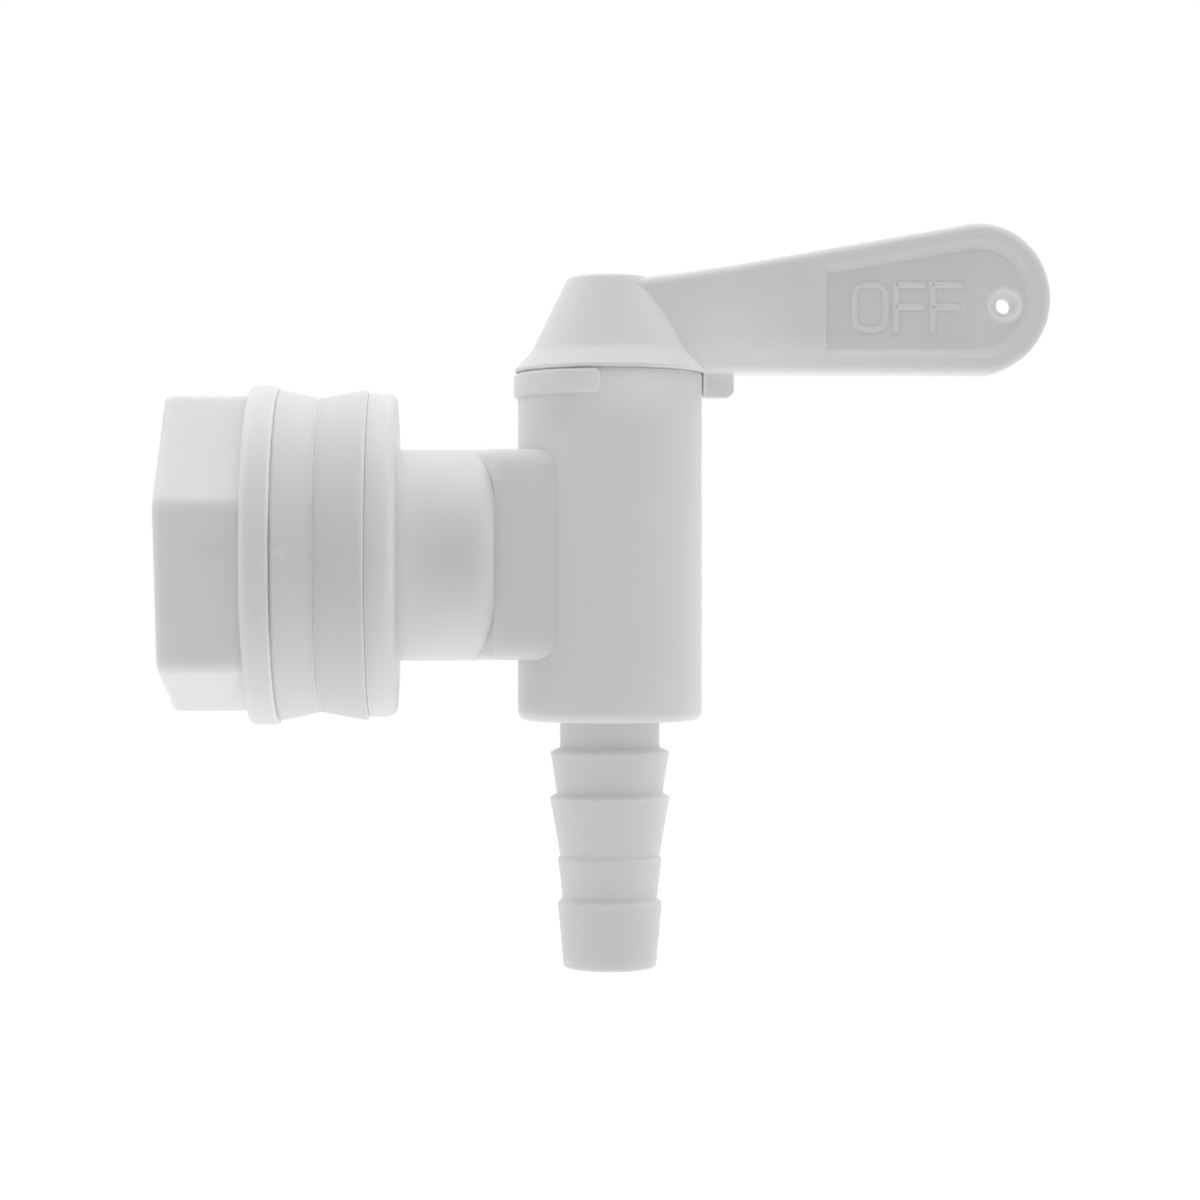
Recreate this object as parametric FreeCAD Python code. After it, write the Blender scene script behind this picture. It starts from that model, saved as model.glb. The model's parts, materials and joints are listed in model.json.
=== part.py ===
import FreeCAD, Part
import math
import os

Vector = FreeCAD.Vector

# Fermenter tap, in millimetres. X runs along the shank and out of the vessel, Z is up.
# The origin is on the shank's axis, in the plane where the two washers meet at the vessel wall.

# Shank, with the diameters of a 3/4 inch pipe thread
THREAD_MAJOR_R = 13.22
THREAD_DEPTH = 1.16
THREAD_CLEARANCE = 0.10
SHANK_REACH = 17.5
SHANK_END_CHAMFER = 0.8
INLET_BORE_R = 9.0

# Flange and neck of the body
FLANGE_R = 20.11
FLANGE_THICK = 3.45
FLANGE_FRONT_ROUND = 1.1
FLANGE_BACK_ROUND = 0.25
NECK_FILLET = 0.4
NECK_R = 13.13
NECK_END = 21.4
NECK_END_ROUND = 1.8

# Flat-sided block between the neck and the barrel, which swells out of the neck, and its passage
BLOCK_START = 18.9
BLOCK_START_HALF_DEPTH = 4.5
BLOCK_HALF_DEPTH = 9.2
BLOCK_TOP_DROP = 0.2
BLOCK_EDGE_ROUND = 2.4
PASSAGE_R = 5.0
PASSAGE_START = 19.0

# Barrel
BARREL_X = 35.94
BARREL_R = 11.49
BARREL_TOP = 22.66
BARREL_BOTTOM = -20.58
BARREL_TOP_ROUND = 0.2
BARREL_BOTTOM_ROUND = 1.25
BARREL_WALL = 2.49
BARREL_FLOOR_THICK = 2.6

# Stop rib round the inlet side of the barrel
RIB_PROUD = 0.5
RIB_TOP_DROP = 0.08
RIB_HEIGHT = 3.03
RIB_ROOT = 0.6
RIB_ROUND = 0.45
RIB_CORNER_ROUND = 0.9
RIB_HALF_ANGLE = 82.2

# Spout with four barbs: each has a crest, a taper down to its foot, and a length
SPOUT_NECK_R = 6.22
SPOUT_NECK_FILLET = 0.5
SPOUT_NECK_LENGTH = 3.43
SPOUT_BORE_R = 4.2
BARB_CREST_R = (7.43, 7.49, 6.52, 6.55)
BARB_FOOT_R = (6.60, 6.25, 5.93, 5.80)
BARB_LENGTH = (5.7, 7.75, 5.35, 8.67)
BARB_CREST_DROP = 0.45
BARB_CREST_ROUND = 0.3
BARB_ROOT_FILLET = 0.3
SPOUT_TIP_ROUND = 0.55

# Plug that turns in the barrel
PLUG_CLEARANCE = 0.05
PLUG_WALL = 2.95
PLUG_CROWN_BELOW_RING = 3.0
PLUG_FLOOR_GAP = 0.3
PLUG_END_CHAMFER = 0.5
PORT_R = 5.0

# Retaining bead of the plug and its groove in the barrel
BEAD_BELOW_TOP = 35.5
BEAD_PROUD = 0.45
BEAD_HALF_HEIGHT = 0.7
BEAD_ROUND = 0.3
BEAD_CLEARANCE = 0.08

# Ring seals, one above and one below the port
RING_SECTION_R = 0.8
RING_GROOVE_HALF_WIDTH = 0.95
RING_SEAT_GAP = 0.02
UPPER_RING_BELOW_TOP = 6.2
LOWER_RING_BELOW_TOP = 31.5

# Cone-shaped cap of the plug
CAP_GAP = 0.10
CAP_LIP_PROUD = 0.36
CAP_LIP_HEIGHT = 0.4
CAP_LIP_ROUND = 0.1
CAP_FLARE_INSET = 1.72
CAP_FLARE_HEIGHT = 2.65
CAP_SHOULDER_ROUND = 3.0
CAP_TOP_INSET = 6.29
CAP_TOP = 34.69
CAP_TOP_ROUND = 0.65

# Lever, an upright plate that leaves the cap along X
LEVER_THICK = 5.8
LEVER_BOTTOM_GAP = 0.12
LEVER_KINK_X = 52.0
LEVER_TOP_SLOPE = 10.1
LEVER_ROOT_SLOPE = 8.8
LEVER_ROOT_X = 38.0
LEVER_FLARE_END_X = 48.0
LEVER_FLARE_R = 20.0
LEVER_TIP_X = 82.2
LEVER_TIP_Z = 33.06
LEVER_TIP_UPPER_R = 8.49
LEVER_TIP_LOWER_R = 9.75
LEVER_TIP_JOIN_ANGLE = 45.5
LEVER_EDGE_ROUND = 1.2

# Recessed panel in each face of the lever
PANEL_START_X = 62.55
PANEL_DEPTH = 0.75
PANEL_FLOOR_INSET = 3.2
PANEL_WALL_RUN = 1.15
PANEL_START_RUN = 0.45

# Hanging hole in the lever's end
HOLE_X = 85.35
HOLE_Z = 31.3
HOLE_R = 1.02
HOLE_MOUTH_R = 1.9
HOLE_MOUTH_DEPTH = 1.2
HOLE_RIM_R = 2.1
HOLE_RIM_PROUD = 0.12

# Stop lug under the lever
LUG_BARREL_GAP = 0.15
LUG_LENGTH = 3.8
LUG_HEIGHT = 3.0
LUG_THICK = 2.8
LUG_INNER_ROUND = 0.35
LUG_OUTER_ROUND = 1.05

# Washers and nut on the shank
OUTER_WASHER_THICK = 6.0
INNER_WASHER_THICK = 5.1
WASHER_PROUD = 0.42
WASHER_WAIST = 1.05
WASHER_BORE_GAP = 0.05
WASHER_SEAM_ROUND = 0.06
WASHER_RIM = 0.4
WASHER_RIM_DROP = 0.3
NUT_FLANGE_R = 21.07
NUT_FLANGE_THICK = 3.5
NUT_FLANGE_ROUND = 0.7
NUT_FLANGE_FACE_ROUND = 0.35
NUT_LENGTH = 13.75
NUT_FLAT_WIDTH = 35.3
NUT_EDGE_ROUND = 2.4
NUT_END_ROUND = 0.9
NUT_TURN = 13.8
NUT_BORE_CHAMFER = 0.8

# Allowances of the construction: how far a cut runs past a face, and what counts as equal
OVERCUT = 1.0
SAME = 1e-6

X_AXIS = Vector(1, 0, 0)
Y_AXIS = Vector(0, 1, 0)
Z_AXIS = Vector(0, 0, 1)
ORIGIN = Vector(0, 0, 0)


def corner_arc(before, corner, after, radius):
    """Start, middle and end of the arc of this radius that rounds a corner."""
    to_before = (before - corner).normalize()
    to_after = (after - corner).normalize()
    half_angle = to_before.getAngle(to_after) / 2
    setback = radius / math.tan(half_angle)
    inward = (to_before + to_after).normalize()
    centre = corner + inward * (radius / math.sin(half_angle))
    return corner + to_before * setback, centre - inward * radius, corner + to_after * setback


def rounded_face(corners):
    """Face inside a closed outline of (point, corner radius) pairs."""
    edges = []
    starts = []
    ends = []
    count = len(corners)
    for index, (point, radius) in enumerate(corners):
        if radius > 0:
            before = corners[index - 1][0]
            after = corners[(index + 1) % count][0]
            start, middle, end = corner_arc(before, point, after, radius)
            edges.append(Part.Arc(start, middle, end).toShape())
        else:
            start = end = point
        starts.append(start)
        ends.append(end)
    for index in range(count):
        following = starts[(index + 1) % count]
        if ends[index].distanceToPoint(following) > SAME:
            edges.append(Part.LineSegment(ends[index], following).toShape())
    return Part.Face(Part.Wire(Part.__sortEdges__(edges)))


def rounded_edges(shape, rows):
    """Shape with its edges rounded by (edge number, first radius, last radius) rows."""
    document = FreeCAD.newDocument()
    sharp = document.addObject("Part::Feature", "Sharp")
    sharp.Shape = shape
    fillet = document.addObject("Part::Fillet", "Rounded")
    fillet.Base = sharp
    fillet.Edges = rows
    document.recompute()
    result = fillet.Shape.copy()
    FreeCAD.closeDocument(document.Name)
    return result


def turned_on_x(profile):
    """Solid turned about the shank's axis from (x, radius, corner radius) rows."""
    corners = [(Vector(x, 0, radius), rounding) for x, radius, rounding in profile]
    return rounded_face(corners).revolve(ORIGIN, X_AXIS, 360)


def turned_on_barrel(profile):
    """Solid turned about the barrel's axis from (radius, z, corner radius) rows."""
    corners = [(Vector(BARREL_X + radius, 0, z), rounding) for radius, z, rounding in profile]
    return rounded_face(corners).revolve(Vector(BARREL_X, 0, 0), Z_AXIS, 360)


def rod_on_x(radius, start, end):
    """Cylinder on the shank's axis from start to end."""
    return Part.makeCylinder(radius, end - start, Vector(start, 0, 0), X_AXIS)


def rod_on_barrel(radius, bottom, top):
    """Cylinder on the barrel's axis from bottom to top."""
    return Part.makeCylinder(radius, top - bottom, Vector(BARREL_X, 0, bottom), Z_AXIS)


# Places that several pieces share
FLANGE_FACE_X = OUTER_WASHER_THICK
FLANGE_BACK_X = FLANGE_FACE_X + FLANGE_THICK
SHANK_R = THREAD_MAJOR_R - THREAD_DEPTH
BARREL_FLOOR = BARREL_BOTTOM + BARREL_FLOOR_THICK
BARREL_BORE_R = BARREL_R - BARREL_WALL
PLUG_R = BARREL_BORE_R - PLUG_CLEARANCE
PLUG_BOTTOM = BARREL_FLOOR + PLUG_FLOOR_GAP
BEAD_Z = BARREL_TOP - BEAD_BELOW_TOP
RING_HEIGHTS = (BARREL_TOP - UPPER_RING_BELOW_TOP, BARREL_TOP - LOWER_RING_BELOW_TOP)
RING_CENTRE_R = PLUG_R - RING_SECTION_R
RIB_TOP = BARREL_TOP - RIB_TOP_DROP
RIB_BOTTOM = RIB_TOP - RIB_HEIGHT
CAP_BOTTOM = BARREL_TOP + CAP_GAP
LEVER_BOTTOM = RIB_TOP + LEVER_BOTTOM_GAP
WASHER_R = FLANGE_R + WASHER_PROUD
WASHER_SEAM_R = WASHER_R - WASHER_WAIST


def shank_and_neck():
    """Threaded shank, flange and neck, with a rounded end where the neck meets the block."""
    return turned_on_x([
        (-SHANK_REACH, 0, 0),
        (-SHANK_REACH, SHANK_R - SHANK_END_CHAMFER, 0),
        (-SHANK_REACH + SHANK_END_CHAMFER, SHANK_R, 0),
        (FLANGE_FACE_X, SHANK_R, 0),
        (FLANGE_FACE_X, FLANGE_R, FLANGE_BACK_ROUND),
        (FLANGE_BACK_X, FLANGE_R, FLANGE_FRONT_ROUND),
        (FLANGE_BACK_X, NECK_R, NECK_FILLET),
        (NECK_END, NECK_R, NECK_END_ROUND),
        (NECK_END, 0, 0),
    ])


def block_outline(x, half_depth):
    """Rounded outline of the block across the shank's axis."""
    half_height = NECK_R - BLOCK_TOP_DROP
    corners = []
    for side_y, side_z in ((-1, -1), (1, -1), (1, 1), (-1, 1)):
        point = Vector(x, side_y * half_depth, side_z * half_height)
        corners.append((point, BLOCK_EDGE_ROUND))
    return rounded_face(corners)


def inlet_block():
    """Flat-sided block that swells out of the neck and runs into the barrel."""
    start = block_outline(BLOCK_START, BLOCK_START_HALF_DEPTH)
    full = block_outline(NECK_END, BLOCK_HALF_DEPTH)
    swell = Part.makeLoft([start.OuterWire, full.OuterWire], True, True)
    straight = full.extrude(Vector(BARREL_X - NECK_END, 0, 0))
    return swell.fuse(straight)


def barrel_and_spout():
    """Barrel with the barbed spout below it, solid before boring."""
    profile = [
        (0, BARREL_TOP, 0),
        (BARREL_R, BARREL_TOP, BARREL_TOP_ROUND),
        (BARREL_R, BARREL_BOTTOM, BARREL_BOTTOM_ROUND),
        (SPOUT_NECK_R, BARREL_BOTTOM, SPOUT_NECK_FILLET),
    ]
    z = BARREL_BOTTOM - SPOUT_NECK_LENGTH
    root_r = SPOUT_NECK_R
    for crest_r, foot_r, length in zip(BARB_CREST_R, BARB_FOOT_R, BARB_LENGTH):
        profile.append((root_r, z, BARB_ROOT_FILLET))
        profile.append((crest_r, z - BARB_CREST_DROP, BARB_CREST_ROUND))
        z -= length
        root_r = foot_r
    profile.append((root_r, z, SPOUT_TIP_ROUND))
    profile.append((0, z, 0))
    return turned_on_barrel(profile), z


def stop_rib():
    """Rib round the inlet side of the barrel, where the lever's lug comes to rest."""
    inner_r = BARREL_R - RIB_ROOT
    outer_r = BARREL_R + RIB_PROUD
    centre = Vector(BARREL_X, 0, 0)
    section = rounded_face([
        (Vector(BARREL_X - inner_r, 0, RIB_BOTTOM), 0),
        (Vector(BARREL_X - outer_r, 0, RIB_BOTTOM), 0),
        (Vector(BARREL_X - outer_r, 0, RIB_TOP), 0),
        (Vector(BARREL_X - inner_r, 0, RIB_TOP), 0),
    ])
    section.rotate(centre, Z_AXIS, -RIB_HALF_ANGLE)
    rib = section.revolve(centre, Z_AXIS, 2 * RIB_HALF_ANGLE)
    rows = []
    for number, edge in enumerate(rib.Edges, 1):
        reach = [math.hypot(v.Point.x - BARREL_X, v.Point.y) for v in edge.Vertexes]
        if min(reach) > outer_r - SAME:
            rows.append((number, RIB_ROUND, RIB_ROUND))
        elif max(reach) > outer_r - SAME:
            rows.append((number, RIB_CORNER_ROUND, RIB_CORNER_ROUND))
    return rounded_edges(rib, rows)


def tap_body():
    """One moulding: shank, flange, neck, block, barrel, rib and spout, with its bores."""
    barrel, spout_end = barrel_and_spout()
    body = shank_and_neck().fuse([inlet_block(), barrel, stop_rib()])
    body = body.removeSplitter()
    cone_length = INLET_BORE_R - PASSAGE_R
    cone_start = PASSAGE_START - cone_length
    mouth_r = BARREL_BORE_R - BEAD_CLEARANCE
    groove_r = PLUG_R + BEAD_PROUD + BEAD_CLEARANCE
    mouth_half = BEAD_HALF_HEIGHT + BEAD_CLEARANCE + BEAD_PROUD
    groove = turned_on_barrel([
        (0, BEAD_Z - mouth_half, 0),
        (mouth_r, BEAD_Z - mouth_half, 0),
        (groove_r, BEAD_Z - BEAD_HALF_HEIGHT, 0),
        (groove_r, BEAD_Z + BEAD_HALF_HEIGHT, 0),
        (mouth_r, BEAD_Z + mouth_half, 0),
        (0, BEAD_Z + mouth_half, 0),
    ])
    cuts = [
        rod_on_x(INLET_BORE_R, -SHANK_REACH - OVERCUT, cone_start),
        Part.makeCone(INLET_BORE_R, PASSAGE_R, cone_length, Vector(cone_start, 0, 0), X_AXIS),
        rod_on_x(PASSAGE_R, cone_start + cone_length / 2, BARREL_X),
        rod_on_barrel(BARREL_BORE_R, BARREL_FLOOR, BARREL_TOP + OVERCUT),
        rod_on_barrel(SPOUT_BORE_R, spout_end - OVERCUT, BARREL_FLOOR + OVERCUT),
        groove,
    ]
    return body.cut(cuts)


def cap():
    """Cone-shaped cap that closes the barrel."""
    lip_r = BARREL_R + CAP_LIP_PROUD
    lip_top = CAP_BOTTOM + CAP_LIP_HEIGHT
    return turned_on_barrel([
        (0, CAP_BOTTOM, 0),
        (lip_r, CAP_BOTTOM, CAP_LIP_ROUND),
        (lip_r, lip_top, CAP_LIP_ROUND),
        (BARREL_R - CAP_FLARE_INSET, CAP_BOTTOM + CAP_FLARE_HEIGHT, CAP_SHOULDER_ROUND),
        (BARREL_R - CAP_TOP_INSET, CAP_TOP, CAP_TOP_ROUND),
        (0, CAP_TOP, 0),
    ])


def lever_outline(inset, start_x, y):
    """Outline of the lever's plate, moved inwards, from start_x to the rounded tip."""
    tip = Vector(LEVER_TIP_X, y, LEVER_TIP_Z)
    join = math.radians(LEVER_TIP_JOIN_ANGLE)
    slope = math.radians(LEVER_TOP_SLOPE)
    root_slope = math.radians(LEVER_ROOT_SLOPE)
    join_way = Vector(math.cos(join), 0, math.sin(join))
    upper_r = LEVER_TIP_UPPER_R - inset
    lower_r = LEVER_TIP_LOWER_R - inset
    lower_centre = tip - join_way * (LEVER_TIP_LOWER_R - LEVER_TIP_UPPER_R)
    bottom_z = LEVER_BOTTOM + inset
    lower_angle = -math.asin((lower_centre.z - bottom_z) / lower_r)
    upper_angle = math.radians(90) + slope

    def on_arc(centre, radius, angle):
        return centre + Vector(math.cos(angle), 0, math.sin(angle)) * radius

    corner = on_arc(lower_centre, lower_r, lower_angle)
    meet = on_arc(tip, upper_r, join)
    crest = on_arc(tip, upper_r, upper_angle)
    kink_z = crest.z + (LEVER_KINK_X - crest.x) * math.tan(slope)
    if start_x < LEVER_KINK_X:
        kink = Vector(LEVER_KINK_X, y, kink_z)
        top_z = kink_z + (start_x - LEVER_KINK_X) * math.tan(root_slope)
    else:
        kink = None
        top_z = crest.z + (start_x - crest.x) * math.tan(slope)
    top_start = Vector(start_x, y, top_z)
    bottom_start = Vector(start_x, y, bottom_z)
    edges = [
        Part.LineSegment(bottom_start, corner).toShape(),
        Part.Arc(corner, on_arc(lower_centre, lower_r, (lower_angle + join) / 2), meet).toShape(),
        Part.Arc(meet, on_arc(tip, upper_r, (upper_angle + join) / 2), crest).toShape(),
    ]
    path = [crest, kink, top_start, bottom_start] if kink else [crest, top_start, bottom_start]
    for start, end in zip(path, path[1:]):
        edges.append(Part.LineSegment(start, end).toShape())
    return Part.Wire(edges)


def panel_cut(side):
    """Recess with sloping walls in one face of the lever; side is -1 or 1 along Y."""
    face_y = side * LEVER_THICK / 2
    over = PANEL_DEPTH / 4
    wall_inset = PANEL_FLOOR_INSET - PANEL_WALL_RUN
    step = PANEL_WALL_RUN * over / PANEL_DEPTH
    start_step = PANEL_START_RUN * over / PANEL_DEPTH
    mouth = lever_outline(wall_inset - step, PANEL_START_X - start_step, face_y + side * over)
    floor = lever_outline(PANEL_FLOOR_INSET, PANEL_START_X + PANEL_START_RUN,
                          face_y - side * PANEL_DEPTH)
    return Part.makeLoft([mouth, floor], True, True)


def lever_plan():
    """Plan of the lever from above: parallel faces that flare out towards the cap."""
    half = LEVER_THICK / 2
    end_x = LEVER_TIP_X + LEVER_TIP_LOWER_R
    run = LEVER_FLARE_END_X - LEVER_ROOT_X
    root_half = half + LEVER_FLARE_R - math.sqrt(LEVER_FLARE_R ** 2 - run ** 2)
    middle_half = half + LEVER_FLARE_R - math.sqrt(LEVER_FLARE_R ** 2 - (run / 2) ** 2)
    edges = []
    for side in (-1, 1):
        root = Vector(LEVER_ROOT_X, side * root_half, 0)
        middle = Vector(LEVER_ROOT_X + run / 2, side * middle_half, 0)
        flat = Vector(LEVER_FLARE_END_X, side * half, 0)
        end = Vector(end_x, side * half, 0)
        edges.append(Part.Arc(root, middle, flat).toShape())
        edges.append(Part.LineSegment(flat, end).toShape())
    for x, reach in ((LEVER_ROOT_X, root_half), (end_x, half)):
        edges.append(Part.LineSegment(Vector(x, -reach, 0), Vector(x, reach, 0)).toShape())
    return Part.Face(Part.Wire(Part.__sortEdges__(edges))), root_half


def lever():
    """Lever plate with rounded edges, a recess in both faces and the hanging hole."""
    half = LEVER_THICK / 2
    plan, root_half = lever_plan()
    side_view = Part.Face(lever_outline(0, LEVER_ROOT_X, -root_half - OVERCUT))
    upright = side_view.extrude(Vector(0, 2 * (root_half + OVERCUT), 0))
    plate = plan.extrude(Vector(0, 0, CAP_TOP + LEVER_TIP_Z)).common(upright)
    rows = []
    for number, edge in enumerate(plate.Edges, 1):
        box = edge.BoundBox
        crosses = box.YLength > LEVER_THICK - SAME
        if box.XLength > 1 and not crosses:
            rows.append((number, LEVER_EDGE_ROUND, LEVER_EDGE_ROUND))
    plate = rounded_edges(plate, rows)
    plate = plate.cut([panel_cut(-1), panel_cut(1)])
    rim_y = half - PANEL_DEPTH + HOLE_RIM_PROUD
    rim_start = Vector(HOLE_X, -rim_y, HOLE_Z)
    rim = Part.makeCylinder(HOLE_RIM_R, 2 * rim_y, rim_start, Y_AXIS)
    hole = [Part.makeCylinder(HOLE_R, 2 * rim_y, rim_start, Y_AXIS)]
    for side in (-1, 1):
        mouth = Vector(HOLE_X, side * rim_y, HOLE_Z)
        hole.append(Part.makeCone(HOLE_MOUTH_R, HOLE_R, HOLE_MOUTH_DEPTH, mouth, Y_AXIS * -side))
    return plate.fuse(rim).cut(hole)


def stop_lug():
    """Lug under the lever, just outside the barrel, in line with the rib."""
    inner_x = BARREL_X + BARREL_R + LUG_BARREL_GAP
    outer_x = inner_x + LUG_LENGTH
    low_z = LEVER_BOTTOM - LUG_HEIGHT
    high_z = LEVER_BOTTOM + LUG_OUTER_ROUND
    outline = rounded_face([
        (Vector(inner_x, -LUG_THICK / 2, high_z), 0),
        (Vector(inner_x, -LUG_THICK / 2, low_z), LUG_INNER_ROUND),
        (Vector(outer_x, -LUG_THICK / 2, low_z), LUG_OUTER_ROUND),
        (Vector(outer_x, -LUG_THICK / 2, high_z), 0),
    ])
    return outline.extrude(Vector(0, LUG_THICK, 0))


def lever_plug():
    """One moulding: hollow plug with its side port, cap, lever and lug."""
    groove_bottom_r = RING_CENTRE_R - RING_SECTION_R
    profile = [
        (0, CAP_BOTTOM + OVERCUT, 0),
        (PLUG_R, CAP_BOTTOM + OVERCUT, 0),
    ]
    upper_z, lower_z = RING_HEIGHTS
    for z in (upper_z, lower_z):
        profile.append((PLUG_R, z + RING_GROOVE_HALF_WIDTH, 0))
        profile.append((groove_bottom_r, z + RING_GROOVE_HALF_WIDTH, 0))
        profile.append((groove_bottom_r, z - RING_GROOVE_HALF_WIDTH, 0))
        profile.append((PLUG_R, z - RING_GROOVE_HALF_WIDTH, 0))
    profile += [
        (PLUG_R, BEAD_Z + BEAD_HALF_HEIGHT, 0),
        (PLUG_R + BEAD_PROUD, BEAD_Z, BEAD_ROUND),
        (PLUG_R, BEAD_Z - BEAD_HALF_HEIGHT, 0),
        (PLUG_R, PLUG_BOTTOM + PLUG_END_CHAMFER, 0),
        (PLUG_R - PLUG_END_CHAMFER, PLUG_BOTTOM, 0),
        (0, PLUG_BOTTOM, 0),
    ]
    plug = turned_on_barrel(profile)
    barrel_room = rod_on_barrel(BARREL_R + LUG_BARREL_GAP, RIB_BOTTOM, CAP_BOTTOM)
    arm = lever().fuse(stop_lug()).cut(barrel_room)
    solid = cap().fuse([plug, arm])
    bore_top = upper_z - PLUG_CROWN_BELOW_RING
    bore = rod_on_barrel(PLUG_R - PLUG_WALL, PLUG_BOTTOM - OVERCUT, bore_top)
    port = Part.makeCylinder(PORT_R, PLUG_R + OVERCUT, Vector(BARREL_X, 0, 0), -Y_AXIS)
    return solid.cut([bore, port]).removeSplitter()


def ring_seal(z):
    """Rubber ring in its groove in the plug, pressed to the barrel's bore."""
    centre = Vector(BARREL_X, 0, z)
    section_r = RING_SECTION_R - RING_SEAT_GAP
    return Part.makeTorus(RING_CENTRE_R + RING_SEAT_GAP, section_r, centre, Z_AXIS)


def washer(seam_side, thickness):
    """Tapered sealing washer on the shank; seam_side is 1 outside the wall, -1 inside."""
    bore_r = THREAD_MAJOR_R + WASHER_BORE_GAP
    far = seam_side * thickness
    near_rim = seam_side * (thickness - WASHER_RIM)
    profile = [
        (0, bore_r, 0),
        (0, WASHER_SEAM_R, WASHER_SEAM_ROUND),
        (near_rim, WASHER_R, 0),
        (far, WASHER_R - WASHER_RIM_DROP, 0),
        (far, bore_r, 0),
    ]
    return turned_on_x(profile)


def back_nut():
    """Hexagonal back nut with a round flange against the inner washer."""
    face_x = -INNER_WASHER_THICK
    flange_end = face_x - NUT_FLANGE_THICK
    end_x = face_x - NUT_LENGTH
    flange = turned_on_x([
        (face_x, 0, 0),
        (face_x, NUT_FLANGE_R, NUT_FLANGE_FACE_ROUND),
        (flange_end, NUT_FLANGE_R, NUT_FLANGE_ROUND),
        (flange_end, 0, 0),
    ])
    corner_r = NUT_FLAT_WIDTH / 2 / math.cos(math.radians(30))
    corners = []
    for index in range(6):
        angle = math.radians(90 + NUT_TURN + 60 * index)
        corner = Vector(end_x, corner_r * math.cos(angle), corner_r * math.sin(angle))
        corners.append((corner, NUT_EDGE_ROUND))
    hexagon = rounded_face(corners).extrude(Vector(NUT_LENGTH - NUT_FLANGE_THICK / 2, 0, 0))
    end_edges = [edge for edge in hexagon.Edges if edge.BoundBox.XMax < end_x + SAME]
    hexagon = hexagon.makeFillet(NUT_END_ROUND, end_edges)
    nut = flange.fuse(hexagon).removeSplitter()
    bore_r = THREAD_MAJOR_R + THREAD_CLEARANCE
    chamfer_r = bore_r + NUT_BORE_CHAMFER
    bore = rod_on_x(bore_r, end_x - OVERCUT, face_x + OVERCUT)
    lead_in = Part.makeCone(chamfer_r, bore_r, NUT_BORE_CHAMFER, Vector(end_x, 0, 0), X_AXIS)
    lead_out = Part.makeCone(bore_r, chamfer_r, NUT_BORE_CHAMFER,
                             Vector(face_x - NUT_BORE_CHAMFER, 0, 0), X_AXIS)
    return nut.cut([bore, lead_in, lead_out])


def check_and_save(name, shape):
    """Write one sub-part as STEP and report its size."""
    solids = shape.Solids
    solid = solids[0] if len(solids) == 1 else shape
    solid.exportStep("parts/" + name + ".step")
    box = solid.BoundBox
    print(name, "solids", len(solids), "valid", solid.isValid(), "volume", round(solid.Volume, 1),
          "box", [round(v, 2) for v in (box.XMin, box.XMax, box.YMin, box.YMax, box.ZMin, box.ZMax)])


os.makedirs("parts", exist_ok=True)
check_and_save("tap_body", tap_body())
check_and_save("lever_plug", lever_plug())
check_and_save("upper_ring_seal", ring_seal(RING_HEIGHTS[0]))
check_and_save("lower_ring_seal", ring_seal(RING_HEIGHTS[1]))
check_and_save("outer_washer", washer(1, OUTER_WASHER_THICK))
check_and_save("inner_washer", washer(-1, INNER_WASHER_THICK))
check_and_save("back_nut", back_nut())
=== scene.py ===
"""Looks of a fermenter tap: moulded white plastic, soft washers, threads and raised words.

Metres throughout. X runs along the shank and out of the vessel, Z is up, and the
photographed side faces -Y.
"""

import json
import logging
import math
from dataclasses import dataclass, field
from enum import Enum

import bpy
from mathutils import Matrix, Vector

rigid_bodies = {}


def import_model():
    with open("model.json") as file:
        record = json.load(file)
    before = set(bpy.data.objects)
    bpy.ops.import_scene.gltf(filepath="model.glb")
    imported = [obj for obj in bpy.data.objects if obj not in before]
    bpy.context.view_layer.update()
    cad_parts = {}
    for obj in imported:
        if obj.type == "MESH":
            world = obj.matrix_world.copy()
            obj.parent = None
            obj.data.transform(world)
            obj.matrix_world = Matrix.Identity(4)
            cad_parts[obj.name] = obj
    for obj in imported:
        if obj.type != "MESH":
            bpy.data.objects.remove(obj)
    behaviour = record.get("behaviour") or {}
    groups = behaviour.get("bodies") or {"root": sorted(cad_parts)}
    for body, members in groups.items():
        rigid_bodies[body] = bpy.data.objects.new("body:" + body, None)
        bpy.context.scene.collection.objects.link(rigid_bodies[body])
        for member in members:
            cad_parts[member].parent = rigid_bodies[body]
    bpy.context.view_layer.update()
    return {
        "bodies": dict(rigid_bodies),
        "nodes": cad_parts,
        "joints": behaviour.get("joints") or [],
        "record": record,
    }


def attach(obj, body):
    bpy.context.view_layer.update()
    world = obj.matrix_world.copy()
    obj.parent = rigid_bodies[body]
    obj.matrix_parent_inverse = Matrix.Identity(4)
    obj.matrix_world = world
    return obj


LOG = logging.getLogger("fermenter_tap")

MM = 0.001
WHITE = (1.0, 1.0, 1.0, 1.0)
NOISE_MIDDLE = 0.5
PLASTIC_IOR = 1.49

# Share of a stroke's half width and of its height, from its foot to its top
STROKE_PROFILE = ((0.86, 0.14), (0.66, 0.52), (0.48, 0.84), (0.26, 1.0))

Point = tuple[float, float, float]
Corners = tuple[int, ...]


class Face(Enum):
    """Faces of the lever, by the sign of their direction along Y."""

    FRONT = -1
    BACK = 1


def new_object(name: str, data: bpy.types.ID) -> bpy.types.Object:
    """Put a new object in the scene.

    Args:
        name: Piece name.
        data: Mesh, lamp or camera that the object shows.

    Returns:
        The linked object.
    """
    made = bpy.data.objects.new(name, data)
    bpy.context.scene.collection.objects.link(made)
    return made


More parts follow.
